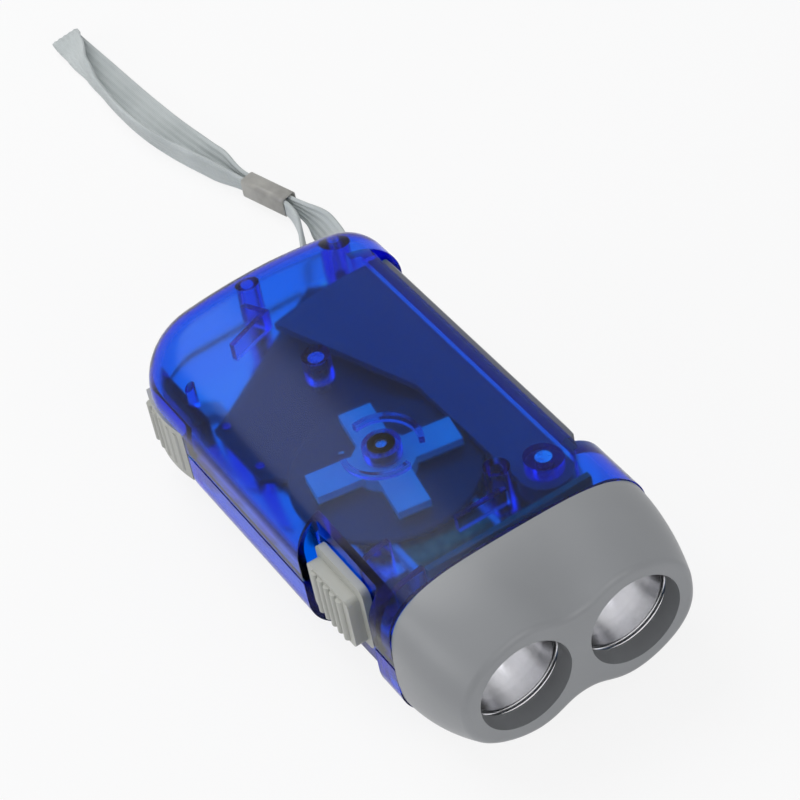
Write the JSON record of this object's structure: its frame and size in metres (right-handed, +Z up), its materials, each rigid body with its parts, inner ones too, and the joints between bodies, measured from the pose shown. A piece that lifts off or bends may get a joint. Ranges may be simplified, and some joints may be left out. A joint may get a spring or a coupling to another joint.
{
  "type": "hand-squeeze dynamo torch",
  "caption": "Palm-sized hand-squeeze dynamo torch: clear blue housing over a gear train and rotor, grey head with round lamps, folding side lever and wrist strap.",
  "frame": {"origin": "middle of the body's footprint, on the flat strip it rests on", "axes": "+X along the body towards the lamps, +Y across it towards the hand lever, +Z up"},
  "size_m": [0.2271, 0.0579, 0.0313],
  "materials": {
    "clear_blue": "clear, faintly frosted",
    "head_grey": "satin",
    "lever_grey": "satin",
    "slider_grey": "satin",
    "white_nylon": "satin",
    "black_plastic": "matt",
    "dark_plate": "matt",
    "cross_blue": "satin",
    "steel": "bright",
    "magnet": "dull",
    "bronze": "oiled",
    "copper": "enamelled wire",
    "board_green": "lacquered",
    "chrome": "vacuum plated",
    "lens_clear": "clear",
    "led_clear": "clear",
    "red_sleeve": "satin",
    "black_sleeve": "satin",
    "strap_weave": "woven",
    "sleeve_clear": "milky"
  },
  "bodies": {
    "housing": {"top_shell": "clear_blue", "bottom_shell": "clear_blue", "head_bezel": "head_grey", "lens_left": "lens_clear", "lens_right": "lens_clear", "lever_pin": "steel", "lever_spring": "steel", "drive_axle": "steel", "middle_axle": "steel", "top_bush": "bronze", "bottom_bush": "bronze", "gear_cover": "dark_plate", "stator_core": "steel", "coil_bobbin": "white_nylon", "coil_winding": "copper", "circuit_board": "board_green", "led_left": "led_clear", "led_right": "led_clear", "reflector_left": "chrome", "reflector_right": "chrome", "button_cell": "steel", "cell_clip": "steel", "switch_body": "black_plastic", "red_lead": "red_sleeve", "black_lead": "black_sleeve", "case_screws": "steel", "strap": "strap_weave", "strap_sleeve": "sleeve_clear"},
    "lever": {"squeeze_lever": "lever_grey"},
    "drive_gear": {"drive_pinion": "white_nylon", "drive_wheel": "black_plastic"},
    "middle_gear": {"middle_gear": "white_nylon"},
    "rotor": {"rotor_shaft": "steel", "rotor_pinion": "white_nylon", "rotor_magnet": "magnet", "flywheel": "black_plastic", "rotor_cross": "cross_blue"},
    "switch": {"switch_slider": "slider_grey"},
    "lock": {"lock_slider": "slider_grey"}
  },
  "joints": [
    {"name": "rotor_spin", "type": "hinge", "parent": "housing", "child": "rotor", "pos_m": [0.00415, -0.0043, 0], "axis": [0, 0, 1], "range_deg": [0, 4735.9]},
    {"name": "lever_swing", "type": "hinge", "parent": "housing", "child": "lever", "pos_m": [0.02425, 0.0151, 0], "axis": [0, 0, -1], "range_deg": [0, 24]},
    {"name": "drive_spin", "type": "hinge", "parent": "housing", "child": "drive_gear", "pos_m": [-0.0221, -0.0014, 0], "axis": [0, 0, 1], "range_deg": [0, 222]},
    {"name": "middle_spin", "type": "hinge", "parent": "housing", "child": "middle_gear", "pos_m": [-0.00525, 0.00739, 0], "axis": [0, 0, -1], "range_deg": [0, 1184]},
    {"name": "switch_slide", "type": "slide", "parent": "housing", "child": "switch", "axis": [1, 0, 0], "range_m": [0, 0.0025]},
    {"name": "lock_slide", "type": "slide", "parent": "housing", "child": "lock", "axis": [1, 0, 0], "range_m": [0, 0.0025]}
  ],
  "couplings": [
    {"joint": "lever_swing", "follows": "rotor_spin", "ratio": 0.0050676},
    {"joint": "drive_spin", "follows": "rotor_spin", "ratio": 0.046875},
    {"joint": "middle_spin", "follows": "rotor_spin", "ratio": 0.25}
  ]
}
